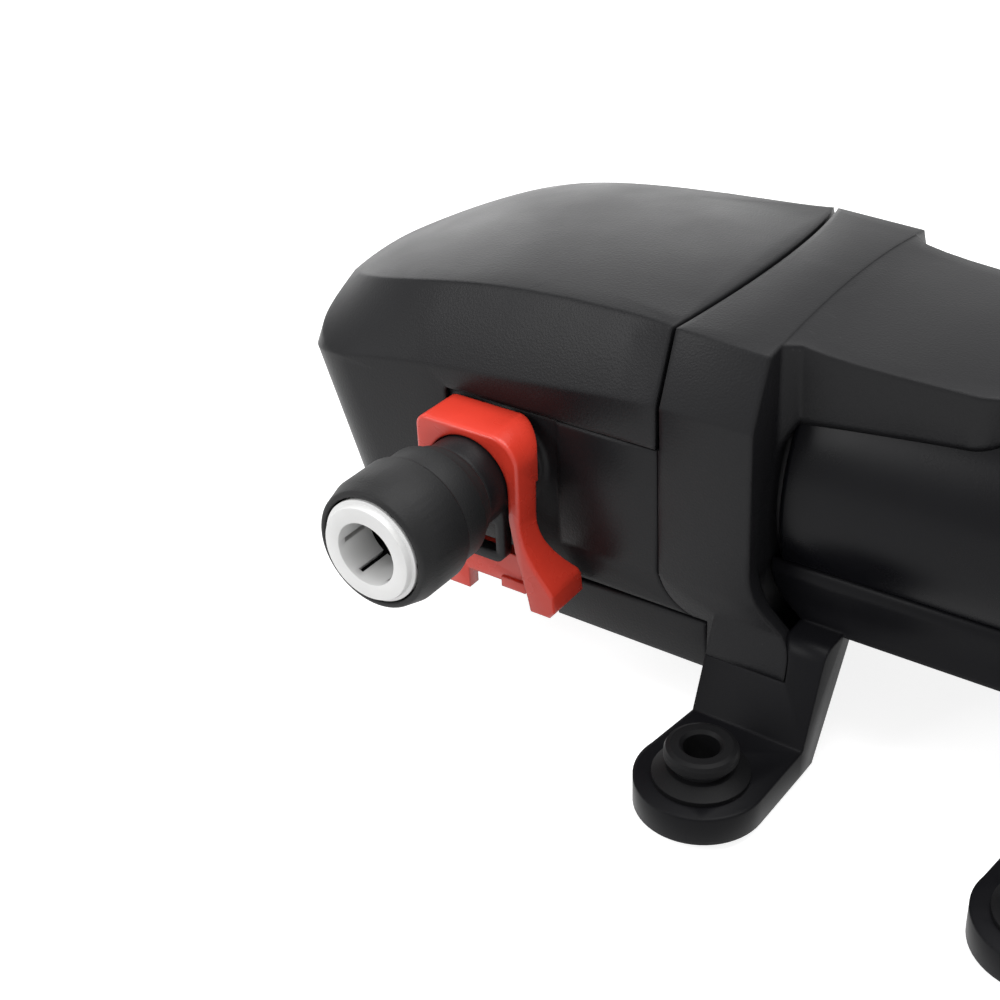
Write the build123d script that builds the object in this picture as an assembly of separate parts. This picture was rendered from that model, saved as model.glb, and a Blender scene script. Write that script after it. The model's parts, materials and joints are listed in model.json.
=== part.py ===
from build123d import *
import math
import os

# Caravan water pump of the diaphragm kind, in millimetres.
# X runs along the motor axis with the nose at -X, the inlet side is +Y and the outlet side is -Y.
# Z is up. The origin is on the ground, in the middle of the four mounting holes.

# Mounting feet
HOLE_SPACING_X = 62.0
HOLE_SPACING_Y = 114.0
PAD_THICKNESS = 5.6
ARM_WIDTH = 22.3
ARM_OFFSET = 1.0
PAD_R = 11.95
GROMMET_HOLE_R = 3.3
GROMMET_RIM_R = 6.6
GROMMET_NECK_R = 5.3
GROMMET_FLANGE_R = 8.7
GROMMET_RISE = 6.8
GROMMET_FOOT = 2.0
GROMMET_LIP = 2.9

# Heights over the ground and stations along the pump
MOTOR_Z = 45.5
PORT_Z = 45.0
SPLIT_X = -52.65
PILASTER_LENGTH = 18.4
PORT_TO_SPLIT = 34.2
DECK_LENGTH = 42.7
HEAD_BOTTOM_Z = 22.0
TRAY_BOTTOM_Z = 10.6
PARTING_Z = 56.2

# Outer form of the hood: belt is the lower crease of the bevelled band, crest the upper one
BELT_HALF = 36.6
BELT_Z = 64.7
CREST_Z = 77.8
CREST_HALF = BELT_HALF - 7.8
CREST_FLARE = 2.3
REAR_FALL = 0.05
CROWN = 2.5
CREST_FALL = 0.022
CREST_CURVE = 2.0e-5
CREST_TAPER = 0.0165
CREST_TAPER_FROM = 57.0
FOOT_HALF = BELT_HALF - 2.0
NOSE_REACH = 86.5
NOSE_SETBACK = 11.0
NOSE_BAND = 17.0
NOSE_BAND_BACK = 5.2
NOSE_BAND_IN = 9.4
NOSE_CORNER_X = 15.2
NOSE_CORNER_Y = 11.0
NOSE_BOW = 2.2
SPLIT_BOW = 4.5
WALL = 2.6
SPLIT_GAP = 0.9
SEAM = 0.3
FACE = 0.05
TRAY_FRONT = 24.0
COVER_POST_Y = BELT_HALF - 7.6
COVER_POST_BACK = 58.5
POST_R = 3.6

# Ports
COLLAR_R = 8.9
COLLAR_REACH = 52.6
STEM_R = 6.8
PIPE_R = 6.1
CAP_R = 12.45
RING_R = 11.5
RING_START = 56.3
CAP_START = 62.7
CAP_END = 75.2
CAP_TAPER = 4.0
COLLET_FLANGE_R = 9.9
COLLET_TUBE_R = 7.4
COLLET_TRAVEL = 1.5
FLANGE_SEAT = 72.0
THREAD_R = 10.0
PIPE_STOP = 58.0
WATERWAY_R = 4.3
SOCKET_END = 30.0
SEAL_AT = 35.0
GROOVE_R = 5.8

# Slide clips
CLIP_FRONT = 47.0
CLIP_LEG_BACK = 41.0
CLIP_HALF = 11.4
CLIP_TOP = 10.8
CLIP_SHOULDER = 6.0
CLIP_SHOULDER_TIGHT = 2.4
CLIP_FOOT = -25.0
CLIP_SPLAY = 7.2
CLIP_LIFT = 7.0
TINE_T = 2.4
TINE_HALF = 6.1
LOOP_DROP = 16.2

# Mid housing, deck and base
DECK_ROOT_HALF = 27.2
DECK_HALF = 25.4
DECK_TAPER = 1.1
DECK_DRAFT = 1.3
DECK_ROOT = 2.6
DECK_CORNER = 12.0
DECK_WALL = 2.4
DECK_CROWN = 2.1
BELLY_R = 27.0
BULKHEAD_T = 5.0
RAIL_Y = 28.0
RAIL_TOP_Z = 37.0
RAIL_BOTTOM_Z = 23.8
BEAM_SETBACK = 7.0
ARM_FOLD_Y = 42.2
ARM_SHELF_Y = 35.0
ARM_REST_Z = 17.6
TROUGH_T = 2.6

# Motor
MOTOR_R = 28.9
MOTOR_WALL = 2.2
MOTOR_LENGTH = 82.0
END_CAP_LENGTH = 11.0
SHAFT_R = 3.0
CORE_LENGTH = 34.0
CORE_SLOTS = 12
MAGNET_THICKNESS = 5.0
AIR_GAP = 0.9
COMMUTATOR_R = 8.0
BUSH_R = 5.4
GLAND_R = 4.6
GLAND_Z = 30.0
RUNNING = 0.04
MOVING = 0.35

# Drive and wet end
CAM_TILT = 2.0
ROCK_R = 21.0
ROCK_GAP = 0.8
CAM_CHAMBER_R = 24.5
JOURNAL_R = 4.0
BALL_R = 1.7
BALL_PITCH_R = 8.1
OUTER_RING_R = 12.4
BEARING_W = 5.0
DIAPHRAGM_R = 27.0
DIAPHRAGM_T = 2.0
CHAMBERS = 3
CHAMBER_PITCH_R = 13.5
CHAMBER_R = 8.3
PISTON_R = 7.5
CAP_T = 2.4
VALVE_PLATE_T = 9.0
FLANGE_T = 14.0
FLANGE_R = 30.0
MANIFOLD_R = 23.0
PLENUM_R = 8.0
INLET_RING_R = 18.4
INLET_CORE_R = 11.0
HEAD_SCREW_Y = 27.0
HEAD_SCREW_RISE = 14.0
SCREW_R = 1.6
SCREW_HEAD_R = 3.0

# Pressure switch in the nose
SWITCH_BACK = 62.5
SWITCH_BASE_Z = 32.0
SWITCH_R = 9.5
SWITCH_LUG_Y = 10.4
SENSE_Z = 28.4
SWITCH_TOP_Z = 47.0
ADJUSTER_R = 4.6

# Worked out from the sizes above
PORT_X = SPLIT_X - PORT_TO_SPLIT
PILASTER_X = SPLIT_X + PILASTER_LENGTH
DECK_END_X = PILASTER_X + DECK_LENGTH
HOLE_X = HOLE_SPACING_X / 2
HOLE_Y = HOLE_SPACING_Y / 2
ARM_FRONT_X = ARM_OFFSET - HOLE_X - ARM_WIDTH / 2
PAD_BOTTOM = GROMMET_FOOT
PAD_TOP = PAD_BOTTOM + PAD_THICKNESS
MOTOR_FRONT_X = PILASTER_X + 1.6
MOTOR_REAR_X = MOTOR_FRONT_X + MOTOR_LENGTH
CLIP_WINDOW_X = PORT_X - CLIP_HALF - 0.4
MANIFOLD_X = CLIP_WINDOW_X - 4.0
BULKHEAD_X = MOTOR_FRONT_X - BULKHEAD_T
DIAPHRAGM_REAR_X = SPLIT_X + SEAM / 2 - FACE
DIAPHRAGM_FRONT_X = DIAPHRAGM_REAR_X - DIAPHRAGM_T
PLATE_REAR_X = DIAPHRAGM_FRONT_X - FACE
PLATE_FRONT_X = PLATE_REAR_X - VALVE_PLATE_T
VALVE_FRONT_X = PLATE_FRONT_X - FACE
CHAMBER_FLOOR_X = PLATE_REAR_X - 5.45
ROCK_FRONT_X = DIAPHRAGM_REAR_X + ROCK_GAP
BEARING_X = ROCK_FRONT_X + 7.6
MAGNET_R = MOTOR_R - MOTOR_WALL - FACE
CORE_R = MAGNET_R - MAGNET_THICKNESS - AIR_GAP
CORE_X = MOTOR_FRONT_X + 19.0
COMMUTATOR_X = CORE_X + CORE_LENGTH + 9.0
END_X = MOTOR_REAR_X + END_CAP_LENGTH
SWITCH_X = SPLIT_X - SWITCH_BACK


def block(x0, x1, y0, y1, z0, z1):
    """Box between two corners."""
    return Pos((x0 + x1) / 2, (y0 + y1) / 2, (z0 + z1) / 2) * Box(x1 - x0, y1 - y0, z1 - z0)


def rod_x(radius, x0, x1, y=0.0, z=MOTOR_Z):
    """Cylinder along X."""
    return Pos((x0 + x1) / 2, y, z) * Rot(0, 90, 0) * Cylinder(radius, abs(x1 - x0))


def rod_y(radius, y0, y1, x=PORT_X, z=PORT_Z):
    """Cylinder along Y."""
    return Pos(x, (y0 + y1) / 2, z) * Rot(90, 0, 0) * Cylinder(radius, abs(y1 - y0))


def rod_z(radius, z0, z1, x, y):
    """Cylinder along Z."""
    return Pos(x, y, (z0 + z1) / 2) * Cylinder(radius, z1 - z0)


def both_sides(shape):
    """A shape and its mirror image across the middle plane."""
    return shape + mirror(shape, Plane.XZ)


def chamber_spots(radius=CHAMBER_PITCH_R, turn=90.0):
    """Y and Z of the pumping chambers round the motor axis."""
    for index in range(CHAMBERS):
        angle = math.radians(turn + index * 360.0 / CHAMBERS)
        yield radius * math.cos(angle), MOTOR_Z + radius * math.sin(angle)


# Outer form of the hood and the pilaster


def crest_drop(back):
    """How far the crest lies below its height at the split, in front of it or behind it."""
    if back < 0:
        return -REAR_FALL * back
    return CREST_FALL * back + CREST_CURVE * back**3


def hood_section(back, inset=0.0):
    """Cross-section of the hood at a distance in front of the split, as a closed face."""
    ahead = max(back, 0.0)
    flare = CREST_FLARE * math.exp(-ahead / 9.0)
    drop = crest_drop(back)
    belt_drop = 0.04 * ahead + 0.0010 * ahead**2
    crest_y = CREST_HALF + flare - CREST_TAPER * max(ahead - CREST_TAPER_FROM, 0.0) ** 2 - inset
    crown = CROWN * min(crest_y / CREST_HALF, 1.0)
    crest_z = CREST_Z - drop - inset
    belt_y = BELT_HALF - inset
    belt_z = BELT_Z - belt_drop - 0.3 * inset
    foot_y = FOOT_HALF - inset
    waist_z = PORT_Z - 15.0
    waist_y = belt_y - 0.9
    low = HEAD_BOTTOM_Z - 14.0
    upper = [(-crest_y, crest_z), (-belt_y, belt_z), (-waist_y, waist_z)]
    points = [*upper, (-foot_y, HEAD_BOTTOM_Z), (-foot_y, low)]
    right = [(-y, z) for y, z in reversed(points)]
    outline = Polyline(*points, *right) + ThreePointArc(points[0], (0, crest_z + crown), right[-1])
    plane = Plane(origin=(SPLIT_X - back, 0, 0), x_dir=(0, 1, 0), z_dir=(1, 0, 0))
    return plane * make_face(outline)


def nose_outline(plane, front, half, corner_x, corner_y, bow):
    """Plan of the nose in a plane, wider than the hood behind its rounded corners."""
    rear = SPLIT_X + 12.0
    start = (front + corner_x, half)
    end = (front + bow, half - corner_y)
    spread = (rear - start[0]) * 0.07
    sides = []
    for sign in (1, -1):
        corner = Spline(
            (start[0], sign * start[1]),
            (end[0], sign * end[1]),
            tangents=[(-1, -sign * 0.05), (-0.12, -sign)],
        )
        flank = Line((start[0], sign * start[1]), (rear, sign * (half + spread)))
        sides += [corner, flank]
    nose = ThreePointArc((end[0], end[1]), (front, 0), (end[0], -end[1]))
    back = Line((rear, half + spread), (rear, -half - spread))
    return plane * make_face(Curve() + [*sides, nose, back])


def nose_form(inset=0.0):
    """Drafted block that rounds the hood off at its front."""
    front = SPLIT_X - NOSE_REACH + inset
    slope = 0.20
    belt_plane_z = BELT_Z - 10.8 + slope * (-SPLIT_X + NOSE_REACH)
    tilted = Plane(origin=(0, 0, belt_plane_z - 0.3 * inset), x_dir=(1, 0, slope), z_dir=(-slope, 0, 1))
    low = Plane(origin=(0, 0, HEAD_BOTTOM_Z - 14.0))
    half = BELT_HALF - inset
    stretch = math.hypot(1, slope)
    belt = nose_outline(tilted, front * stretch, half, NOSE_CORNER_X, NOSE_CORNER_Y, NOSE_BOW)
    over_front = (front + NOSE_BAND_BACK) * stretch
    over = nose_outline(tilted.offset(NOSE_BAND), over_front, half - NOSE_BAND_IN, 16.0, 13.0, 0.6)
    under = nose_outline(low, front + NOSE_SETBACK * 1.35, half - 1.9, NOSE_CORNER_X, NOSE_CORNER_Y, NOSE_BOW)
    upper = loft([belt, over], ruled=True)
    lower = loft([under, belt], ruled=True)
    return upper + lower


def hood_form(inset=0.0):
    """Whole outer or inner form of the head, from the nose to the split."""
    stations = (0.0, 10.0, 24.0, 42.0, 57.0, 68.0, 78.0, 92.0)
    body = loft([hood_section(back, inset) for back in reversed(stations)])
    return body & nose_form(inset)


def split_tool(x_side, bow, rear):
    """Everything behind the split line, which bows to the rear over the crown."""
    crest = CREST_HALF + CREST_FLARE
    reach = BELT_HALF + 20
    arc = ThreePointArc((x_side, -crest), (x_side + bow, 0), (x_side, crest))
    behind = [(x_side, reach), (rear, reach), (rear, -reach), (x_side, -reach)]
    rest = Polyline((x_side, crest), *behind, (x_side, -crest))
    return extrude(make_face(arc + rest), 120)


def front_cover():
    """Hood with the bevelled band, open below and behind, cut away round the ports."""
    split = SPLIT_X - SPLIT_GAP / 2
    outer = hood_form() + extrude(hood_section(0.0), SPLIT_BOW + 2)
    inner = hood_form(WALL) + extrude(hood_section(0.0, WALL), SPLIT_BOW + 3)
    shell = outer - split_tool(split, SPLIT_BOW, SPLIT_X + 40)
    shell = shell - inner - block(-200, 0, -60, 60, -10, HEAD_BOTTOM_Z)
    shell -= block(CLIP_WINDOW_X - SEAM, SPLIT_X + 9, -60, 60, 0, PARTING_Z)
    outside = hood_form(WALL / 2)
    floor_top = HEAD_BOTTOM_Z + SEAM + WALL
    for x, y in cover_screw_spots():
        post = rod_z(POST_R, floor_top + FACE, CREST_Z, x, y) & outside
        shell = shell + post - rod_z(SCREW_R, 0, floor_top + 14.0, x, y)
    return shell


def cover_screw_spots():
    """X and Y of the two posts that hold the cover down."""
    for y in (-COVER_POST_Y, COVER_POST_Y):
        yield SPLIT_X - COVER_POST_BACK, y


def port_collar():
    """Collar that takes the plug-in connector, with the stop loop under it."""
    collar = rod_y(COLLAR_R, -COLLAR_REACH, -BELT_HALF + 6)
    collar = fillet(collar.edges().sort_by(Axis.Y)[0], 0.8)
    half, wall = COLLAR_R - 1.3, 1.8
    front, back = CLIP_FRONT - 0.2, CLIP_FRONT - 2.7
    low = PORT_Z - LOOP_DROP
    loop = block(PORT_X - half, PORT_X + half, -front, -back, low, PORT_Z - 4.0)
    loop = fillet(loop.edges().filter_by(Axis.Y).group_by(Axis.Z)[0], 2.2)
    loop -= block(PORT_X - half + wall, PORT_X + half - wall, -front - 1, -back + 1, low + 2.2, PORT_Z - 8.0)
    strut = block(PORT_X - 5.0, PORT_X + 5.0, -back - 0.1, -BELT_HALF + 2, PORT_Z - 8.6, PORT_Z - 6.0)
    return collar + loop + strut


def tine_gap():
    """Y of the two faces of the slot that the clip's tines run in."""
    middle = (CLIP_FRONT + CLIP_LEG_BACK) / 2 - 2.0
    return -middle - TINE_T / 2, -middle + TINE_T / 2


def port_bores():
    """Socket for the stem, the waterway behind it and the slots for the clip's tines."""
    socket = rod_y(STEM_R + FACE, -COLLAR_REACH - 1, -SOCKET_END)
    way = rod_y(WATERWAY_R, -SOCKET_END - 1, -PLENUM_R - 1.4)
    y0, y1 = tine_gap()
    tall = COLLAR_R + 0.4
    slots = Part()
    for side in (-1, 1):
        inner, outer = sorted((PORT_X + side * TINE_HALF, PORT_X + side * (COLLAR_R + 2)))
        inner, outer = (inner - 0.3, outer) if side > 0 else (inner, outer + 0.3)
        slots += block(inner, outer, y0 - 0.3, y1 + 0.3, PORT_Z - tall, PORT_Z + tall)
    return socket + way + slots


def head_screw_spots():
    """Y and Z of the four screws that clamp the head to the mid housing."""
    for y in (-HEAD_SCREW_Y, HEAD_SCREW_Y):
        for z in (-HEAD_SCREW_RISE, HEAD_SCREW_RISE):
            yield y, MOTOR_Z + z


def toe_tool():
    """Rounded foot of the head that reaches back under the pilaster, right across the pump."""
    rise, reach = 7.5, 8.8
    low, high = HEAD_BOTTOM_Z - 1, HEAD_BOTTOM_Z + rise
    curve = ThreePointArc((SPLIT_X, high), (SPLIT_X + 2.3, high - 4.6), (SPLIT_X + reach, HEAD_BOTTOM_Z))
    behind = [(SPLIT_X + reach, HEAD_BOTTOM_Z), (SPLIT_X + reach, low)]
    rest = Polyline(*behind, (SPLIT_X - 2, low), (SPLIT_X - 2, high), (SPLIT_X, high))
    return extrude(Plane.XZ.offset(-60) * make_face(curve + rest), 120)


def pump_head():
    """Head moulding: flush side cheeks, round manifold, port collars, floor of the nose and switch seat."""
    rear = SPLIT_X - SEAM / 2
    floor = HEAD_BOTTOM_Z + SEAM
    face = rear - FLANGE_T
    form = hood_form()
    core = hood_form(WALL)
    span = block(CLIP_WINDOW_X, rear, -60, 60, floor, PARTING_Z - SEAM)
    head = (form & span) - (core & block(CLIP_WINDOW_X - 1, face, -60, 60, floor + WALL, 80))
    head += hood_form(WALL + SEAM) & block(-150, CLIP_WINDOW_X + 1, -60, 60, floor, floor + WALL)
    head += rod_x(MANIFOLD_R, MANIFOLD_X, rear) & block(-150, 0, -60, 60, floor, 100)
    head += rod_x(FLANGE_R, face, rear)
    head += both_sides(rod_y(STEM_R + 2.8, -BELT_HALF + 1.0, 0))
    for y, z in head_screw_spots():
        head += rod_x(4.4, face - 2, rear, y, z)
    side = Pos(-2, 0, 0) * (extrude(hood_section(0.0), 14) - extrude(hood_section(0.0, WALL), 14))
    head += side & toe_tool() & block(rear - 1, 0, -60, 60, floor, 60)
    head += rod_z(SWITCH_R, floor, SWITCH_BASE_Z, SWITCH_X, 0)
    for x, y in switch_screw_spots():
        head += rod_z(3.0, floor, SWITCH_BASE_Z, x, y)
    head += rod_x(3.4, SWITCH_X, MANIFOLD_X + 1, z=SENSE_Z)
    recess = block(CLIP_WINDOW_X - 1, PORT_X + CLIP_HALF + 1.5, -60, -BELT_HALF + 1.0, 0, PARTING_Z + 1)
    recess -= rod_y(COLLAR_R + 1.2, -60, 0)
    head -= both_sides(recess)
    head += both_sides(port_collar())
    head -= both_sides(port_bores())
    head -= rod_x(DIAPHRAGM_R + 0.3, VALVE_FRONT_X, rear + 1)
    head -= rod_x(PLENUM_R, PORT_X - 2.0, VALVE_FRONT_X + 1)
    ring_x = VALVE_FRONT_X - 6.0
    head -= rod_x(INLET_RING_R, ring_x, VALVE_FRONT_X + 1) - rod_x(INLET_CORE_R, ring_x, VALVE_FRONT_X + 1)
    head -= rod_y(WATERWAY_R, -PLENUM_R - 2, -4.0)
    head -= rod_x(3.0, PORT_X, ring_x + 1, 14.4, PORT_Z)
    head -= rod_x(SCREW_R, SWITCH_X, PORT_X, z=SENSE_Z)
    head -= rod_z(SCREW_R, SENSE_Z, SWITCH_BASE_Z + 1, SWITCH_X, 0)
    head -= rod_z(SCREW_R, SENSE_Z, MOTOR_Z, PORT_X, 0)
    for y, z in head_screw_spots():
        head -= rod_x(SCREW_R + 0.15, face - 3, rear + 1, y, z)
    for x, y in cover_screw_spots():
        head -= rod_z(SCREW_R + 0.3, 0, floor + WALL + 1, x, y)
    for x, y in tray_screw_spots():
        head -= rod_z(SCREW_R, 0, HEAD_BOTTOM_Z + 7.5, x, y)
    for x, y in switch_screw_spots():
        head -= rod_z(SCREW_R - 0.4, SWITCH_BASE_Z - 5.0, SWITCH_BASE_Z + 1, x, y)
    return head


def head_tray():
    """Tray that closes the underside of the head."""
    x0, x1 = SPLIT_X - TRAY_FRONT, SPLIT_X + 9.6
    top = HEAD_BOTTOM_Z - 0.5
    half_top, half_low = FOOT_HALF, FOOT_HALF - 1.4
    left = [(-half_top, top), (-half_low, TRAY_BOTTOM_Z)]
    profile = Polyline(*left, (half_low, TRAY_BOTTOM_Z), (half_top, top), left[0])
    tray = extrude(Plane(origin=(x0, 0, 0), x_dir=(0, 1, 0), z_dir=(1, 0, 0)) * make_face(profile), x1 - x0)
    tray -= block(x0 + 2.4, x1 - 2.4, -half_low + 2.2, half_low - 2.2, TRAY_BOTTOM_Z + 2.2, top + 1)
    tray -= rod_x(BELLY_R + SEAM, SPLIT_X - 2, x1 + 1)
    for x, y in tray_screw_spots():
        tray += rod_z(POST_R + 0.6, TRAY_BOTTOM_Z + 1.0, HEAD_BOTTOM_Z + SEAM - FACE, x, y)
        tray -= rod_z(SCREW_R + 0.2, TRAY_BOTTOM_Z - 1, top + 2, x, y)
        tray -= rod_z(SCREW_HEAD_R + 0.3, TRAY_BOTTOM_Z - 1, TRAY_BOTTOM_Z + 2.4, x, y)
    return tray


def tray_screw_spots():
    """X and Y of the screws that hold the tray up against the head."""
    for y in (-24.0, 24.0):
        yield SPLIT_X - 12.0, y


# Mid housing with its deck


def arm_profile():
    """Side view of an arm as seen along X: flat pad, steep slant, shelf under the housing."""
    outer = ARM_FOLD_Y + 0.5
    return Polyline(
        (outer, PAD_BOTTOM),
        (outer, PAD_TOP),
        (ARM_FOLD_Y, PAD_TOP),
        (ARM_SHELF_Y, RAIL_BOTTOM_Z + 0.9),
        (RAIL_Y - 4, RAIL_BOTTOM_Z + 0.9),
        (RAIL_Y - 2.5, RAIL_BOTTOM_Z - 2.2),
        (ARM_FOLD_Y - 4.3, PAD_BOTTOM),
        (outer, PAD_BOTTOM),
    )


def cross_plane(x):
    """Plane square to the motor axis, with Y to the right and Z up."""
    return Plane(origin=(x, 0, 0), x_dir=(0, 1, 0), z_dir=(1, 0, 0))


def arm(x_mid):
    """One near-side arm and its round-ended pad, without the grommet hole."""
    x0 = x_mid + ARM_OFFSET - ARM_WIDTH / 2
    bar = extrude(cross_plane(x0) * make_face(arm_profile()), ARM_WIDTH)
    shelf = bar.edges().sort_by_distance((x_mid, ARM_SHELF_Y, RAIL_BOTTOM_Z + 0.9))[0]
    bar = fillet(shelf, 4.0)
    end = rod_z(PAD_R, PAD_BOTTOM, PAD_TOP, x_mid, HOLE_Y)
    fold = [(x0 + ARM_WIDTH, ARM_FOLD_Y), (x0, ARM_FOLD_Y)]
    pad = make_face(Polyline(*fold, (x_mid - PAD_R, HOLE_Y), (x_mid + PAD_R, HOLE_Y), fold[0]))
    end += extrude(Plane(origin=(0, 0, PAD_BOTTOM)) * pad, PAD_THICKNESS)
    return mirror(bar + end, Plane.XZ)


def rail_profile():
    """Cross-section of the base behind the pilaster: two rails joined by a trough under the motor."""
    rail = Polyline(
        (RAIL_Y - 1.6, RAIL_TOP_Z),
        (RAIL_Y + 0.3, RAIL_TOP_Z - 3.4),
        (RAIL_Y, RAIL_BOTTOM_Z),
        (RAIL_Y - 5.0, RAIL_BOTTOM_Z),
        (RAIL_Y - 5.0, RAIL_TOP_Z),
        (RAIL_Y - 1.6, RAIL_TOP_Z),
    )
    return make_face(rail)


def base_frame():
    """Base under the motor: trough, rails, beam under the pilaster and four arms with pads."""
    x0, x1 = ARM_FRONT_X, HOLE_X + ARM_OFFSET + ARM_WIDTH / 2 + 4.0
    rail = extrude(cross_plane(x0) * rail_profile(), x1 - x0)
    trough = rod_x(MOTOR_R + TROUGH_T, x0, x1) & block(x0, x1, -RAIL_Y + 1, RAIL_Y - 1, 0, RAIL_BOTTOM_Z + 4)
    low = MOTOR_Z - MOTOR_R - TROUGH_T
    base = both_sides(rail) + trough
    for x in (-HOLE_X, HOLE_X):
        x2, x3 = x + ARM_OFFSET - ARM_WIDTH / 2, x + ARM_OFFSET + ARM_WIDTH / 2 - BEAM_SETBACK
        base += both_sides(arm(x)) + block(x2, x3, -RAIL_Y + 1.5, RAIL_Y - 1.5, low, ARM_REST_Z)
    base -= rod_x(MOTOR_R + FACE, PILASTER_X - 1.2, x1 + 1)
    seat = fin_tool() + block(x0 - 1, PILASTER_X + 0.1, -60, 60, 10, 60)
    base -= Pos(SEAM, 0, 0) * seat & block(x0 - 1, 0, -60, 60, ARM_REST_Z, 60)
    for x, y in mount_spots():
        base -= rod_z(GROMMET_NECK_R + FACE, PAD_BOTTOM - 1, PAD_TOP + 1, x, y)
    for x, y in base_screw_spots():
        base -= rod_z(SCREW_R + 0.2, 0, ARM_REST_Z + 1, x, y)
        base -= rod_z(SCREW_HEAD_R + 0.3, 0, low + 1.4, x, y)
    return base


def mount_spots():
    """X and Y of the four mounting holes."""
    for x in (-HOLE_X, HOLE_X):
        for y in (-HOLE_Y, HOLE_Y):
            yield x, y


def base_screw_spots():
    """X and Y of the screws that hold the base to the mid housing."""
    for y in (-22.0, 22.0):
        yield PILASTER_X - 3.8, y


def deck_outline(z, lean, inset=0.0):
    """Plan of the deck at a height: chamfered root, slight taper, rounded rear corners."""
    root, start = DECK_ROOT_HALF - inset, DECK_HALF - lean - inset
    end = start - DECK_TAPER - 0.7 * lean
    x0, x1 = PILASTER_X - 1.0, DECK_END_X - inset
    corner = DECK_CORNER - inset
    slant_x = PILASTER_X + DECK_ROOT
    bend = corner * 0.29
    upper = Polyline((x0, root), (PILASTER_X, root), (slant_x, start), (x1 - corner, end))
    turn = ThreePointArc((x1 - corner, end), (x1 - bend, end - bend), (x1, end - corner))
    tail = Line((x1, end - corner), (x1, -end + corner))
    turn_back = ThreePointArc((x1, -end + corner), (x1 - bend, -end + bend), (x1 - corner, -end))
    lower = Polyline((x1 - corner, -end), (slant_x, -start), (PILASTER_X, -root), (x0, -root), (x0, root))
    return Plane(origin=(0, 0, z)) * make_face(upper + turn + tail + turn_back + lower)


def deck_walls(inset=0.0):
    """Upright form of the deck, whose sides lean in towards the motor."""
    low = deck_outline(MOTOR_Z, 2 * DECK_DRAFT, inset)
    return loft([low, deck_outline(CREST_Z + 4, 0.0, inset)], ruled=True)


def deck_top(inset=0.0):
    """Crowned slab under the deck's falling top surface."""
    faces = []
    half = DECK_ROOT_HALF + 1
    for reach in (-2.0, 1.0, 3.5, 7.0, 12.0, 19.0, 30.0, DECK_LENGTH + 2):
        fall = 2.0 * (1 - math.exp(-max(reach, 0.0) / 7.0)) + 0.035 * reach
        high = CREST_Z + CROWN - crest_drop(-PILASTER_LENGTH) - fall - inset
        side = high - DECK_CROWN
        arc = ThreePointArc((-half, side), (0, high), (half, side))
        rest = Polyline((half, side), (half, MOTOR_Z + 6.0), (-half, MOTOR_Z + 6.0), (-half, side))
        faces.append(cross_plane(PILASTER_X + reach) * make_face(arc + rest))
    return loft(faces, ruled=True)


def deck():
    """Hollow deck over the motor."""
    outer = deck_walls() & deck_top()
    hollow = deck_walls(DECK_WALL) & deck_top(DECK_WALL)
    hollow &= block(PILASTER_X + 2.0, DECK_END_X, -60, 60, 0, 100)
    return outer - hollow - rod_x(MOTOR_R + FACE, PILASTER_X - 2, DECK_END_X + 1)


def fin_tool():
    """Side view of the pilaster with the fin that flares out over each front arm."""
    edge = PILASTER_X
    points = [(edge, 37.0), (edge + 3.1, 28.0), (edge + 7.9, 23.1), (edge + 9.0, 17.0)]
    curve = Spline(*points, tangents=[(0, -1), (0.1, -1)])
    rest = Polyline((edge + 9.0, 17.0), (edge + 9.0, 10.0), (edge - 5, 10.0), (edge - 5, 37.0), (edge, 37.0))
    return extrude(Plane.XZ.offset(-60) * make_face(curve + rest), 120)


def pilaster_toe():
    """Wedge at the foot of the pilaster that runs out into the slant of the near front arm."""
    x0, x1 = ARM_FRONT_X, PILASTER_X + 9.0
    slope = (ARM_FOLD_Y - ARM_SHELF_Y) / (RAIL_BOTTOM_Z + 0.9 - PAD_TOP)
    low, high = ARM_REST_Z + FACE, RAIL_BOTTOM_Z + 3.5
    low_y, high_y = ARM_FOLD_Y - slope * (low - PAD_TOP), ARM_FOLD_Y - slope * (high - PAD_TOP)
    inner = -FOOT_HALF + 2
    profile = Polyline((-low_y, low), (-high_y, high), (inner, high), (inner, low), (-low_y, low))
    wedge = extrude(cross_plane(x0) * make_face(profile), x1 - x0)
    return wedge & (fin_tool() + block(x0, PILASTER_X, -60, 60, 0, 60))


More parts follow.
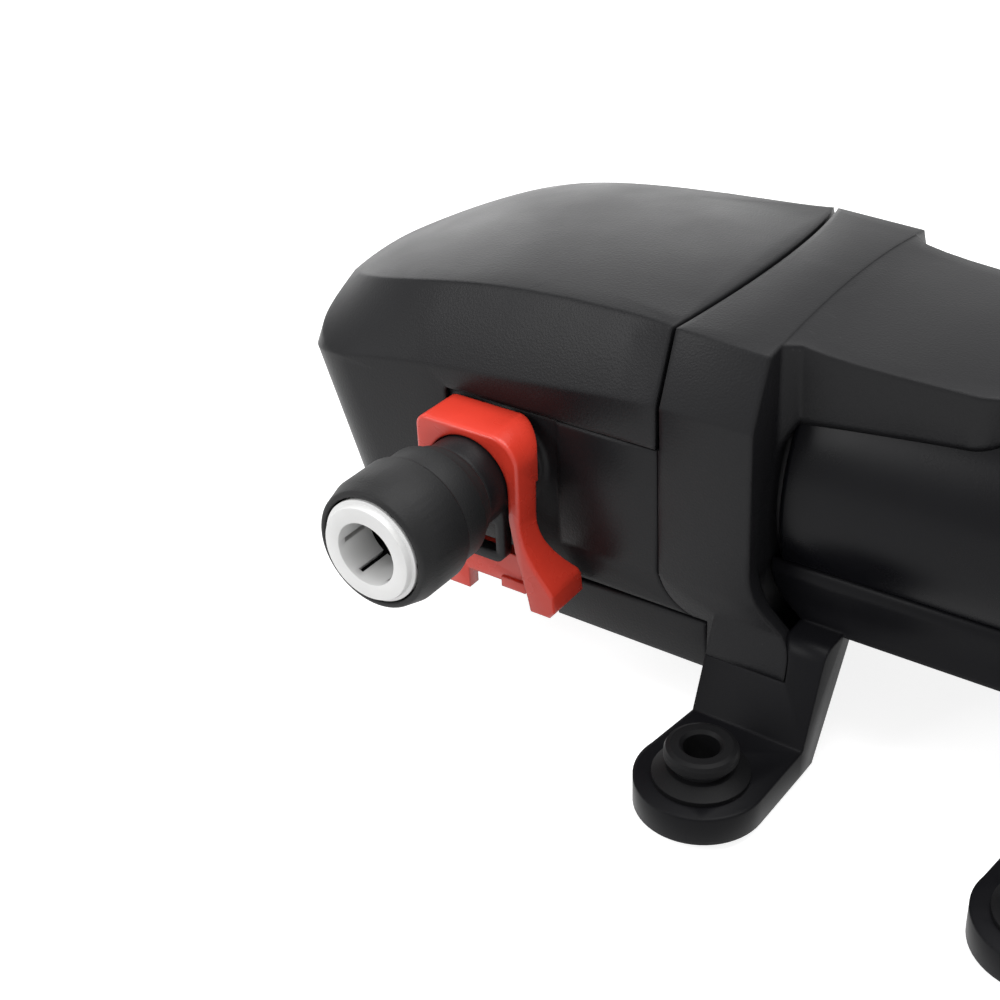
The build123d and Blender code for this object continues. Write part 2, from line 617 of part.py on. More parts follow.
def mid_housing():
    """Ring behind the split with the cam chamber, the fins over the front arms and the deck."""
    front = SPLIT_X + SEAM / 2
    ring = loft([hood_section(0.0), hood_section(-PILASTER_LENGTH)])
    ring &= block(front, PILASTER_X, -60, 60, TRAY_BOTTOM_Z + 1.0, 100)
    ring -= block(-60, SPLIT_X + 9.9, -60, 60, 0, HEAD_BOTTOM_Z + SEAM)
    fins = extrude(hood_section(-PILASTER_LENGTH), 10.0) & fin_tool()
    fins -= block(PILASTER_X, 0, -BELT_HALF + 4.6, BELT_HALF - 4.6, 0, 100)
    skirt = rod_x(MOTOR_R - 3.0, PILASTER_X - 1, MOTOR_FRONT_X - FACE)
    body = ring + rod_x(BELLY_R, front, SPLIT_X + 11.0) + fins + skirt + deck() + both_sides(pilaster_toe())
    skin = extrude(hood_section(0.0), 14) - extrude(hood_section(0.0, WALL + SEAM), 14)
    lip = skin & block(SPLIT_X - 1, SPLIT_X + SPLIT_BOW + 3, -60, 60, PARTING_Z, 100)
    body -= lip - split_tool(SPLIT_X + SPLIT_GAP / 2, SPLIT_BOW, SPLIT_X + 40)
    body -= skin & Pos(SEAM, 0, 0) * toe_tool()
    body -= rod_x(CAM_CHAMBER_R, front - 1, BULKHEAD_X)
    body -= rod_x(SHAFT_R + 5.4, BULKHEAD_X - 1, PILASTER_X + 5)
    for y, z in head_screw_spots():
        body -= rod_x(SCREW_R, front - 1, front + 12, y, z)
    for y, z in motor_screw_spots():
        body -= rod_x(SCREW_R + 0.2, BULKHEAD_X - 1, MOTOR_FRONT_X + 1, y, z)
    body -= block(ARM_FRONT_X - SEAM, 0, -60, 60, 0, ARM_REST_Z + FACE)
    for x, y in base_screw_spots():
        body -= rod_z(SCREW_R, 0, ARM_REST_Z + 12, x, y)
    return body


def motor_screw_spots():
    """Y and Z of the two screws that hold the motor to the bulkhead."""
    for y in (-16.5, 16.5):
        yield y, MOTOR_Z


def grommet(x, y):
    """Rubber grommet with its foot, neck, flared flange and top rim round one hole."""
    top = PAD_TOP + GROMMET_RISE
    low = PAD_TOP + 2.4
    foot_top = PAD_BOTTOM - FACE
    outline = Polyline(
        (GROMMET_HOLE_R, 0),
        (GROMMET_FLANGE_R - 0.6, 0),
        (GROMMET_FLANGE_R, 0.6),
        (GROMMET_FLANGE_R, foot_top),
        (GROMMET_NECK_R, foot_top),
        (GROMMET_NECK_R, PAD_TOP + FACE),
        (GROMMET_FLANGE_R, PAD_TOP + FACE),
        (GROMMET_FLANGE_R, PAD_TOP + 0.9),
        (GROMMET_NECK_R + 0.9, low),
        (GROMMET_NECK_R, low + 0.2),
        (GROMMET_NECK_R, top - GROMMET_LIP - 0.5),
        (GROMMET_RIM_R - 0.5, top - GROMMET_LIP - 0.1),
        (GROMMET_RIM_R, top - GROMMET_LIP + 0.5),
        (GROMMET_RIM_R, top - 1.1),
        (GROMMET_RIM_R - 0.35, top - 0.35),
        (GROMMET_RIM_R - 1.1, top),
        (GROMMET_HOLE_R + 0.6, top),
        (GROMMET_HOLE_R, top - 0.6),
        (GROMMET_HOLE_R, 0),
    )
    return Pos(x, y, 0) * revolve(Plane.XZ * make_face(outline), Axis.Z)


# Ports: connectors, collets, seals and slide clips, drawn for the near side


def turned(points):
    """Solid of revolution round the near port's axis, from distances along -Y and radii."""
    first, last = points[0][0], points[-1][0]
    outline = Polyline((0, first), *[(r, d) for d, r in points], (0, last), (0, first))
    shape = revolve(Plane.XY * make_face(outline), Axis.Y)
    return Pos(PORT_X, 0, PORT_Z) * mirror(shape, Plane.XZ)


def connector_body():
    """Plug-in connector: stem with its clip groove, shoulder ring and the seat of the pipe."""
    y0, y1 = tine_gap()
    groove0, groove1 = -y1 - 0.4, -y0 + 0.4
    body = turned(
        [
            (SOCKET_END + 0.8, STEM_R - 0.6),
            (SOCKET_END + 1.6, STEM_R),
            (SEAL_AT - 1.2, STEM_R),
            (SEAL_AT - 1.2, STEM_R - 1.5),
            (SEAL_AT + 1.2, STEM_R - 1.5),
            (SEAL_AT + 1.2, STEM_R),
            (groove0, STEM_R),
            (groove0, GROOVE_R),
            (groove1, GROOVE_R),
            (groove1, STEM_R),
            (COLLAR_REACH + 0.5, STEM_R),
            (COLLAR_REACH + 0.5, RING_R - 1.6),
            (RING_START, RING_R - 1.0),
            (RING_START + 0.3, RING_R),
            (CAP_START - 0.3, RING_R),
            (CAP_START - 0.3, THREAD_R),
            (CAP_START + 6.0, THREAD_R),
        ]
    )
    way = [(SOCKET_END - 1, WATERWAY_R), (PIPE_STOP, WATERWAY_R)]
    bore = turned([*way, (PIPE_STOP, PIPE_R), (CAP_START + 7, PIPE_R)])
    seat = turned([(CAP_START + 1.0, PIPE_R + 2.2), (CAP_START + 7.0, PIPE_R + 2.2)])
    return body - bore - seat


def connector_cap():
    """Cap screwed on the connector: rounded front lip, recess for the collet's flange, tapered mouth."""
    rear = [(CAP_START, CAP_R - 0.4), (CAP_START + 0.4, CAP_R)]
    cap = turned([*rear, (CAP_END - CAP_TAPER, CAP_R), (CAP_END, CAP_R - 1.1)])
    cap = fillet(cap.edges().group_by(Axis.Y)[0], 0.8)
    inside = turned(
        [
            (CAP_START - 1, THREAD_R + FACE),
            (CAP_START + 6.0 + FACE, THREAD_R + FACE),
            (CAP_START + 6.0 + FACE, COLLET_TUBE_R + 1.3),
            (FLANGE_SEAT - 0.4, COLLET_TUBE_R + 0.4),
            (FLANGE_SEAT, COLLET_TUBE_R + 0.4),
            (FLANGE_SEAT, COLLET_FLANGE_R + 0.35),
            (CAP_END + 1, COLLET_FLANGE_R + 0.35),
        ]
    )
    return cap - inside


def collet():
    """White release collet: stepped flange and a split tube with gripping teeth."""
    back = FLANGE_SEAT + COLLET_TRAVEL + 0.15
    tip = CAP_START + 1.6 + COLLET_TRAVEL + 2.0
    tube = turned(
        [
            (tip, COLLET_TUBE_R - 0.3),
            (tip + 1.6, COLLET_TUBE_R + 0.2),
            (tip + 2.6, COLLET_TUBE_R),
            (back, COLLET_TUBE_R),
            (back, COLLET_FLANGE_R),
            (back + 1.6, COLLET_FLANGE_R),
            (back + 1.7, COLLET_FLANGE_R - 0.6),
            (back + 2.9, COLLET_FLANGE_R - 0.9),
        ]
    )
    tube -= turned([(tip - 1, PIPE_R), (back + 3, PIPE_R)])
    for turn in (0, 60, 120):
        slit = Pos(PORT_X, 0, PORT_Z) * Rot(0, turn, 0) * Box(40, 7.0, 0.9)
        tube -= Pos(0, -(tip + 3.4), 0) * slit
    for turn in (30, 90, 150, 210, 270, 330):
        tooth = Box(0.7, 1.0, 1.6)
        place = Pos(PORT_X, -(back - 1.0), PORT_Z) * Rot(0, turn, 0) * Pos(PIPE_R + 0.4, 0, 0)
        tube += place * tooth
    return tube


def stem_seal():
    """O-ring in the stem's groove."""
    ring = Torus(STEM_R - 0.72, 0.74)
    return Pos(PORT_X, -SEAL_AT, PORT_Z) * Rot(90, 0, 0) * ring


def pipe_seal():
    """Square-backed seal round the pipe, held between the connector and its cap."""
    start = CAP_START + 1.1
    outer, inner = PIPE_R + 2.1, PIPE_R
    ring = turned([(start, outer), (start + 2.0, outer)]) - turned([(start - 1, inner), (start + 3, inner)])
    return ring


def clip_plane(y):
    """Plane across the clip's depth, with its origin on the port's axis."""
    return Plane(origin=(PORT_X, y, PORT_Z), x_dir=(1, 0, 0), z_dir=(0, -1, 0))


def clip_outline(y, half_top):
    """Front view of the clip in a plane across its depth: ridge, round shoulders, flared feet."""
    reach = half_top + CLIP_SPLAY
    sides = []
    for sign, corner in ((1, CLIP_SHOULDER), (-1, CLIP_SHOULDER_TIGHT)):
        bend = 0.29 * corner
        shoulder = ThreePointArc(
            (sign * (half_top - corner), CLIP_TOP),
            (sign * (half_top - bend), CLIP_TOP - bend),
            (sign * half_top, CLIP_TOP - corner),
        )
        shank = Line((sign * half_top, CLIP_TOP - corner), (sign * half_top, -6.0))
        ankle = (sign * (reach - 0.3), CLIP_FOOT + 5.0)
        bends = [(sign * half_top, -6.0), (sign * (half_top + 2.2), -14.0), ankle]
        flare = Spline(*bends, tangents=[(0, -1), (sign * 0.75, -1)])
        foot = Polyline(ankle, (sign * reach, CLIP_FOOT + 1.5), (sign * (reach - 1.2), CLIP_FOOT))
        sides += [shoulder, shank, flare, foot]
    ridge = Line((-half_top + CLIP_SHOULDER_TIGHT, CLIP_TOP), (half_top - CLIP_SHOULDER, CLIP_TOP))
    sole = Line((reach - 1.2, CLIP_FOOT), (-reach + 1.2, CLIP_FOOT))
    return clip_plane(y) * make_face(Curve() + [*sides, ridge, sole])


def clip_opening(y0, y1):
    """Arched opening between the legs, splayed towards the feet."""
    radius = COLLAR_R + 0.3
    arch = ThreePointArc((-radius, 0), (0, radius), (radius, 0))
    splayed = [(radius + 1.3, -13.5), (radius + 3.6, CLIP_FOOT + 3.0), (radius + 4.4, CLIP_FOOT - 1.0)]
    right = [(radius, 0), (radius, -6.0), *splayed]
    left = [(-x, z) for x, z in reversed(right)]
    return extrude(clip_plane(y1) * make_face(arch + Polyline(*right, *left)), y1 - y0)


def clip_relief(back):
    """Hollow behind one shoulder and the shanks, which leaves the ridge and the feet at full depth."""
    side = CLIP_HALF + 0.1
    bend = Spline((5.0, -back), (9.4, -back - 1.6), (side, -CLIP_LEG_BACK), tangents=[(1, 0), (0.25, -1)])
    outside = [(30.0, -CLIP_LEG_BACK), (30.0, 1 - back)]
    rest = Polyline((side, -CLIP_LEG_BACK), *outside, (5.0, 1 - back), (5.0, -back))
    shoulder = extrude(Plane(origin=(PORT_X, 0, PORT_Z)) * make_face(bend + rest), 40)
    bends = [(-CLIP_LEG_BACK, 0.0), (-CLIP_LEG_BACK, -11.0), (-back, -19.0)]
    curve = Spline(*bends, tangents=[(0, -1), (0.9, -1)])
    frame = Polyline((-back, -19.0), (1 - back, -19.0), (1 - back, 0.0), (-CLIP_LEG_BACK, 0.0))
    across = Plane(origin=(PORT_X - 30, 0, PORT_Z), x_dir=(0, 1, 0), z_dir=(1, 0, 0))
    return shoulder + extrude(across * make_face(curve + frame), 60)


def slide_clip():
    """Arched slide clip: thick ridge, two splayed legs, tines for the stem's groove, bar between the feet."""
    front, back = -CLIP_FRONT, -BELT_HALF - 0.3
    solid = loft([clip_outline(front, CLIP_HALF), clip_outline(back, CLIP_HALF - 0.2)], ruled=True)
    solid = fillet(solid.edges().group_by(Axis.Y)[0], 0.7)
    solid -= clip_opening(front - 1, back + 1)
    solid -= clip_relief(-back)
    y0, y1 = tine_gap()
    foot = PORT_Z + CLIP_FOOT
    for side in (-1, 1):
        a, b = sorted((PORT_X + side * TINE_HALF, PORT_X + side * (COLLAR_R + 1.2)))
        solid += block(a, b, y0, y1, PORT_Z - 6.0, PORT_Z + 4.6)
    half, face = COLLAR_R + 4.6, -CLIP_FRONT + 3.9
    bar_top = PORT_Z - COLLAR_R - CLIP_LIFT - MOVING
    bar = block(PORT_X - half, PORT_X + half, face, face + 2.8, foot + 1.9, bar_top)
    hook = block(PORT_X - 8.6, PORT_X - 3.8, face, face + 2.8, foot - 2.6, foot + 2.5)
    catch = block(PORT_X + 4.5, PORT_X + 10.0, face - 0.8, face + 1, foot + 1.2, foot + 3.4)
    return solid + bar + hook + catch


# Motor


def motor_can():
    """Drawn steel can."""
    can = rod_x(MOTOR_R, MOTOR_FRONT_X, MOTOR_REAR_X)
    can = fillet(can.edges().group_by(Axis.X)[0], 1.2)
    return can - rod_x(MOTOR_R - MOTOR_WALL, MOTOR_FRONT_X - 1, MOTOR_REAR_X + 1)


def motor_front_plate():
    """Plate in the front of the can, with the seat of the front bush."""
    x0, x1 = MOTOR_FRONT_X, MOTOR_FRONT_X + 4.0
    plate = rod_x(MAGNET_R, x0, x1) + rod_x(BUSH_R + 2.4, x0 - 2.0, x1)
    plate -= rod_x(BUSH_R, x0 - 3, x1 + 1)
    for y, z in motor_screw_spots():
        plate -= rod_x(SCREW_R, x0 - 1, x1 + 1, y, z)
    return plate


def motor_end_cap():
    """Cup on the rear of the can, with the seat of the rear bush and the hole of the cable gland."""
    cap = rod_x(MOTOR_R, MOTOR_REAR_X + FACE, END_X)
    cap = fillet(cap.edges().group_by(Axis.X)[-1], 3.0)
    cap += rod_x(MAGNET_R, MOTOR_REAR_X - 4.0, MOTOR_REAR_X + 2)
    cap -= rod_x(MAGNET_R - 2.2, MOTOR_REAR_X - 5.0, END_X - 2.4)
    cap += rod_x(BUSH_R + 2.4, END_X - 8.0, END_X - 1)
    cap -= rod_x(BUSH_R, END_X - 9.0, END_X - 3.0)
    return cap - rod_x(GLAND_R, END_X - 5, END_X + 1, z=GLAND_Z)


def bush(x0, x1):
    """Plain sintered bush with a running fit on the shaft."""
    return rod_x(BUSH_R - FACE, x0, x1) - rod_x(SHAFT_R + RUNNING, x0 - 1, x1 + 1)


def field_magnets():
    """Two curved field magnets against the wall of the can."""
    x0, x1 = CORE_X - 5.0, CORE_X + CORE_LENGTH + 5.0
    ring = rod_x(MAGNET_R, x0, x1) - rod_x(MAGNET_R - MAGNET_THICKNESS, x0 - 1, x1 + 1)
    gap = block(x0 - 1, x1 + 1, -9.0, 9.0, 0, 100)
    return ring - gap


def slot_tool(grow):
    """One armature slot pointing up, smaller by the given amount for the winding in it."""
    x0, x1 = CORE_X - 1, CORE_X + CORE_LENGTH + 1
    low, high = MOTOR_Z + 9.5 + grow, MOTOR_Z + CORE_R - 2.4 - grow
    root, mouth = 1.2 - grow, 3.1 - grow
    outline = Polyline((-root, low), (-mouth, high), (mouth, high), (root, low), (-root, low))
    return extrude(cross_plane(x0) * make_face(outline), x1 - x0)


def slot_turns():
    """Turns about the motor axis, one for each armature slot."""
    for index in range(CORE_SLOTS):
        yield Pos(0, 0, MOTOR_Z) * Rot(360.0 * index / CORE_SLOTS, 0, 0) * Pos(0, 0, -MOTOR_Z)


def armature_core():
    """Slotted iron core."""
    x0, x1 = CORE_X, CORE_X + CORE_LENGTH
    core = rod_x(CORE_R, x0, x1) - rod_x(SHAFT_R + FACE, x0 - 1, x1 + 1)
    slot = slot_tool(0.0) + block(x0 - 1, x1 + 1, -0.9, 0.9, MOTOR_Z + CORE_R - 4, MOTOR_Z + CORE_R + 2)
    for turn in slot_turns():
        core -= turn * slot
    return core


def armature_winding():
    """Copper winding: a bar in each slot and the overhang at both ends."""
    x0, x1 = CORE_X, CORE_X + CORE_LENGTH
    winding = Part()
    for start, end in ((x0 - 6.5, x0 - FACE), (x1 + FACE, x1 + 5.0)):
        ring = rod_x(CORE_R - 3.0, start, end)
        winding += ring - rod_x(SHAFT_R + 2.0, start - 1, end + 1)
    for turn in slot_turns():
        winding += turn * slot_tool(0.2)
    return winding


def commutator():
    """Commutator on the shaft, with its slits between the bars."""
    x0, x1 = COMMUTATOR_X, COMMUTATOR_X + 11.0
    body = rod_x(COMMUTATOR_R, x0, x1) - rod_x(SHAFT_R + FACE, x0 - 1, x1 + 1)
    slit = block(x0 - 1, x1 + 1, -0.25, 0.25, MOTOR_Z + COMMUTATOR_R - 1.0, MOTOR_Z + COMMUTATOR_R + 1)
    for turn in slot_turns():
        body -= turn * slit
    return body


def motor_shaft():
    """Steel shaft from the cam to the rear bush."""
    return rod_x(SHAFT_R, BEARING_X - 3.4, END_X - 3.6)


def brush_carrier():
    """Ring that holds the two brushes in their boxes."""
    x0 = COMMUTATOR_X + 1.5
    ring = rod_x(MAGNET_R - FACE, x0, x0 + 2.6) - rod_x(COMMUTATOR_R + 1.2, x0 - 1, x0 + 4)
    box = block(x0 + 2.5, x0 + 8.5, -20.0, -10.5, MOTOR_Z - 3.6, MOTOR_Z + 3.6)
    box -= block(x0 + 2.6, x0 + 6.9, -21, -9, MOTOR_Z - 2.35, MOTOR_Z + 2.35)
    return ring + both_sides(box)


def brush():
    """Near carbon brush."""
    x0 = COMMUTATOR_X + 1.5
    block_y = -COMMUTATOR_R - 0.3
    return block(x0 + 2.8, x0 + 6.7, -16.5, block_y, MOTOR_Z - 2.15, MOTOR_Z + 2.15)


def brush_spring():
    """Bent strip that presses the near brush inward."""
    x0 = COMMUTATOR_X + 5.0
    strip = block(x0, x0 + 1.6, -19.4, -19.0, MOTOR_Z - 1.6, MOTOR_Z + 1.6)
    strip += block(x0, x0 + 1.6, -19.2, -16.6, MOTOR_Z + 1.2, MOTOR_Z + 1.6)
    return strip + block(x0, x0 + 1.6, -16.95, -16.55, MOTOR_Z - 1.6, MOTOR_Z + 1.6)


def cable_gland():
    """Rubber gland in the end cap, with the hole for the lead."""
    disc = rod_x(GLAND_R + 1.6, END_X + FACE, END_X + 1.6, z=GLAND_Z)
    neck = rod_x(GLAND_R - FACE, END_X - 2.4, END_X + 1, z=GLAND_Z)
    sleeve = rod_x(GLAND_R - 0.8, END_X + 1, END_X + 5.0, z=GLAND_Z)
    return disc + neck + sleeve - rod_x(1.7, END_X - 3, END_X + 6, z=GLAND_Z)


# Drive: tilted journal, ball bearing and wobble plate


def tilted(shape):
    """Turn a shape of the bearing with the tilt of the journal."""
    return Pos(BEARING_X, 0, MOTOR_Z) * Rot(0, 0, CAM_TILT) * Pos(-BEARING_X, 0, -MOTOR_Z) * shape


def cam():
    """Cam on the shaft: tilted journal and balance weight."""
    half = BEARING_W / 2
    journal = tilted(rod_x(JOURNAL_R - FACE, BEARING_X - half - 0.4, BEARING_X + half + 0.6))
    x0 = BEARING_X + half + 0.4
    weight = rod_x(9.0, x0, x0 + 2.2) - block(x0 - 1, x0 + 4, -20, 20, MOTOR_Z + 4.6, 100)
    return journal + weight - rod_x(SHAFT_R + FACE, BEARING_X - 8, BEARING_X + 12)


def bearing_ring(inner, outer):
    """Ring of the cam bearing."""
    half = BEARING_W / 2
    ring = rod_x(outer, BEARING_X - half, BEARING_X + half)
    return ring - rod_x(inner, BEARING_X - half - 1, BEARING_X + half + 1)


def bearing_balls():
    """Balls between the two rings, as separate solids."""
    spots = []
    for index in range(8):
        angle = math.radians(45.0 * index + 20.0)
        y, z = BALL_PITCH_R * math.cos(angle), MOTOR_Z + BALL_PITCH_R * math.sin(angle)
        spots.append(tilted(Pos(BEARING_X, y, z) * Sphere(BALL_R)))
    return Compound(children=spots)


def wobble_plate():
    """Plate that rocks on the bearing and drives the three pistons."""
    plate = rod_x(ROCK_R, ROCK_FRONT_X, ROCK_FRONT_X + 3.0)
    hub = rod_x(OUTER_RING_R + 2.0, ROCK_FRONT_X, BEARING_X + BEARING_W / 2)
    body = plate + hub
    body -= rod_x(OUTER_RING_R + FACE, BEARING_X - BEARING_W / 2 - FACE, BEARING_X + BEARING_W)
    body -= rod_x(JOURNAL_R + 2.6, BEARING_X - BEARING_W / 2 - 1.6, BEARING_X)
    for y, z in chamber_spots():
        body += rod_x(3.6, ROCK_FRONT_X, ROCK_FRONT_X + 4.4, y, z) - rod_x(OUTER_RING_R, 0, -60)
        body -= rod_x(SCREW_R, ROCK_FRONT_X - 1, ROCK_FRONT_X + 4.0, y, z)
    return body


# Wet end


def diaphragm():
    """Rubber diaphragm with a rim bead and a hole for each piston screw."""
    disc = rod_x(DIAPHRAGM_R, DIAPHRAGM_FRONT_X, DIAPHRAGM_REAR_X)
    for y, z in chamber_spots():
        groove = rod_x(CHAMBER_R, DIAPHRAGM_REAR_X - 0.5, DIAPHRAGM_REAR_X + 1, y, z)
        disc -= groove - rod_x(CHAMBER_R - 1.6, DIAPHRAGM_REAR_X - 1, DIAPHRAGM_REAR_X + 2, y, z)
        disc -= rod_x(SCREW_R + 0.7, DIAPHRAGM_FRONT_X - 1, DIAPHRAGM_REAR_X + 1, y, z)
    return disc


def piston_cap(y, z):
    """One piston cap in its chamber."""
    rear = DIAPHRAGM_FRONT_X - ROCK_GAP
    cap = rod_x(PISTON_R, rear - CAP_T, rear, y, z)
    cap = chamfer(cap.edges().group_by(Axis.X)[0], 0.6)
    cap -= rod_x(SCREW_R + FACE, rear - CAP_T - 1, rear + 1, y, z)
    return cap - rod_x(SCREW_HEAD_R + FACE, rear - CAP_T - 1, rear - CAP_T + 1.6, y, z)


def screw(length, head_r=SCREW_HEAD_R, head_t=1.6):
    """Screw along +Z with its head's top at the origin and a cross recess."""
    shank = Pos(0, 0, head_t + length / 2) * Cylinder(SCREW_R - FACE, length)
    body = Pos(0, 0, head_t / 2) * Cylinder(head_r, head_t) + shank
    recess = Box(3.2, 0.8, 1.6) + Box(0.8, 3.2, 1.6)
    return body - recess


def along_x(shape, x, y, z):
    """Place a shape drawn along +Z so that it points along +X."""
    return Pos(x, y, z) * Rot(0, 90, 0) * shape


def piston_screws():
    """Screws through the caps and the diaphragm into the wobble plate."""
    x = DIAPHRAGM_FRONT_X - ROCK_GAP - CAP_T
    length = ROCK_FRONT_X + 3.6 - x - 1.6
    return Compound(children=[along_x(screw(length), x, y, z) for y, z in chamber_spots()])


def inlet_valve_spots():
    """Y and Z of the inlet valves."""
    return chamber_spots((INLET_RING_R + INLET_CORE_R) / 2)


def valve_plate():
    """Plate with three chambers, the seats of the valves and the grooves of the seals."""
    plate = rod_x(DIAPHRAGM_R, PLATE_FRONT_X, PLATE_REAR_X)
    for y, z in chamber_spots():
        plate -= rod_x(CHAMBER_R, CHAMBER_FLOOR_X, PLATE_REAR_X + 1, y, z)
    for y, z in inlet_valve_spots():
        plate -= rod_x(1.25, PLATE_FRONT_X - 1, PLATE_REAR_X, y, z)
        for index in range(3):
            angle = math.radians(120.0 * index + 60.0)
            dy, dz = 2.9 * math.cos(angle), 2.9 * math.sin(angle)
            plate -= rod_x(0.9, PLATE_FRONT_X - 1, CHAMBER_FLOOR_X + 1, y + dy, z + dz)
    for y, z in chamber_spots(6.2):
        plate -= rod_x(0.9, PLATE_FRONT_X - 1, CHAMBER_FLOOR_X + 1, y, z)
    plate -= rod_x(1.25, PLATE_FRONT_X - 1, PLATE_FRONT_X + 3.4)
    for inner, outer in seal_rings():
        start = PLATE_FRONT_X - 1
        groove = rod_x(outer + FACE, start, PLATE_FRONT_X + 1.25)
        plate -= groove - rod_x(inner - FACE, start - 1, PLATE_FRONT_X + 3)
    return plate


def seal_rings():
    """Inner and outer radius of the two seals on the front of the valve plate."""
    yield 8.7, 10.3
    yield 20.2, 22.0


def valve_seals():
    """Two flat seals between the head and the valve plate."""
    rings = []
    for inner, outer in seal_rings():
        start, end = PLATE_FRONT_X, PLATE_FRONT_X + 1.2
        rings.append(rod_x(outer, start, end) - rod_x(inner, start - 1, end + 1))
    return Compound(children=rings)


def inlet_valves():
    """Umbrella valve in each chamber's inlet."""
    valves = []
    x = CHAMBER_FLOOR_X + FACE
    for y, z in inlet_valve_spots():
        disc = rod_x(4.4, x, x + 0.8, y, z)
        stem = rod_x(1.2, PLATE_FRONT_X - 1.6, x + 0.5, y, z)
        knob = rod_x(1.7, PLATE_FRONT_X - 1.6, PLATE_FRONT_X - 0.1, y, z)
        valves.append(disc + stem + knob)
    return Compound(children=valves)


def outlet_valve():
    """Cup valve over the three outlets, in the middle of the plate."""
    x = PLATE_FRONT_X - FACE
    return rod_x(7.4, x - 1.2, x) + rod_x(1.2, x - 1, PLATE_FRONT_X + 3.2) - rod_x(5.0, x - 2, x - 0.7)


# Pressure switch


def switch_screw_spots():
    """X and Y of the two screws of the switch housing."""
    for y in (-SWITCH_LUG_Y, SWITCH_LUG_Y):
        yield SWITCH_X, y


def switch_diaphragm():
    """Sensing diaphragm of the pressure switch."""
    disc = rod_z(8.0, SWITCH_BASE_Z + FACE, SWITCH_BASE_Z + 1.2, SWITCH_X, 0)
    return disc


def switch_housing():
    """Housing of the pressure switch with the bridge that carries the microswitch."""
    low, high = SWITCH_BASE_Z + FACE, SWITCH_TOP_Z
    body = rod_z(SWITCH_R, low, low + 4.0, SWITCH_X, 0) + rod_z(8.4, low, high, SWITCH_X, 0)
    for x, y in switch_screw_spots():
        body += rod_z(3.0, low, low + 4.0, x, y)
    body += block(SWITCH_X - 10.0, SWITCH_X + 10.0, -3.4, 3.4, high - 2.4, high)
    body -= rod_z(8.0 + FACE, low - 1, low + 1.2, SWITCH_X, 0)
    body -= rod_z(6.3, low, high - 4.4, SWITCH_X, 0)
    body -= rod_z(ADJUSTER_R + FACE, low, high + 1, SWITCH_X, 0)
    for x, y in switch_screw_spots():
        body -= rod_z(SCREW_R - 0.3, 0, low + 5, x, y)
        body -= rod_z(2.0, low + 4.0, high + 1, x, y) & block(-200, 0, -20, 20, 0, high - 3)
    return body


def switch_plunger():
    """Plunger over the sensing diaphragm, with the stem that works the button."""
    low = SWITCH_BASE_Z + 1.2 + FACE
    return rod_z(5.9, low, low + 2.4, SWITCH_X, 0) + rod_z(1.5, low, SWITCH_TOP_Z - 0.5, SWITCH_X, 0)


def switch_adjuster():
    """Ring screw that sets the spring's load."""
    low = SWITCH_TOP_Z - 5.4
    ring = rod_z(ADJUSTER_R, low, SWITCH_TOP_Z - 0.3, SWITCH_X, 0)
    ring -= rod_z(1.5 + MOVING, low - 1, SWITCH_TOP_Z + 1, SWITCH_X, 0)
    return ring - block(SWITCH_X - 6, SWITCH_X + 6, -0.5, 0.5, SWITCH_TOP_Z - 1.5, SWITCH_TOP_Z)


def switch_spring():
    """Coil spring between the plunger and the adjuster."""
    low = SWITCH_BASE_Z + 1.2 + 2.4 + FACE + 0.5
    high = SWITCH_TOP_Z - 5.4 - 0.5
    path = Helix((high - low) / 4, high - low, 3.3)
    wire = Plane(origin=path @ 0, z_dir=path % 0) * Circle(0.4)
    return Pos(SWITCH_X, 0, low) * sweep(wire, path=path, is_frenet=True)


def microswitch():
    """Snap-action switch on the bridge, with its two terminals."""
    low, high = SWITCH_TOP_Z + FACE, SWITCH_TOP_Z + 9.0
    case = block(SWITCH_X - 8.0, SWITCH_X + 11.0, -3.2, 3.2, low, high)
    case -= rod_z(1.2 + MOVING, low - 1, low + 4.0, SWITCH_X, 0)
    for x in (SWITCH_X + 2.0, SWITCH_X + 8.0):
        case += block(x - 0.4, x + 0.4, -1.6, 1.6, high - 0.5, high + 3.4)
    return case


def microswitch_button():
    """Button of the microswitch, over the plunger's stem."""
    low = SWITCH_TOP_Z - 0.45
    return rod_z(1.2, low, low + 2.9, SWITCH_X, 0)


# Screws


def upright(shape, x, y, z):
    """Place a screw that points up with its head's underside seen from below."""
    return Pos(x, y, z) * shape


def head_screws():
    """Four screws from the head into the mid housing."""
    x = SPLIT_X - SEAM / 2 - FLANGE_T - 2 - 1.6 - FACE
    return Compound(children=[along_x(screw(FLANGE_T + 12.0), x, y, z) for y, z in head_screw_spots()])


def motor_screws():
    """Two screws from the bulkhead into the motor's front plate."""
    x = BULKHEAD_X - 1.6 - FACE
    return Compound(children=[along_x(screw(BULKHEAD_T + 4.0), x, y, z) for y, z in motor_screw_spots()])


def cover_screws():
    """Two screws that hold the cover, put in from below."""
    z = HEAD_BOTTOM_Z + SEAM - 1.6 - FACE
    return Compound(children=[upright(screw(WALL + 13.0, 2.6), x, y, z) for x, y in cover_screw_spots()])


def tray_screws():
    """Two screws that hold the tray, put in from below."""
    z = TRAY_BOTTOM_Z + 0.8
    return Compound(children=[upright(screw(15.0), x, y, z) for x, y in tray_screw_spots()])


def base_screws():
    """Two screws from the base up into the mid housing."""
    z = MOTOR_Z - MOTOR_R - TROUGH_T + 1.4 - 1.6 - FACE
    return Compound(children=[upright(screw(13.0), x, y, z) for x, y in base_screw_spots()])


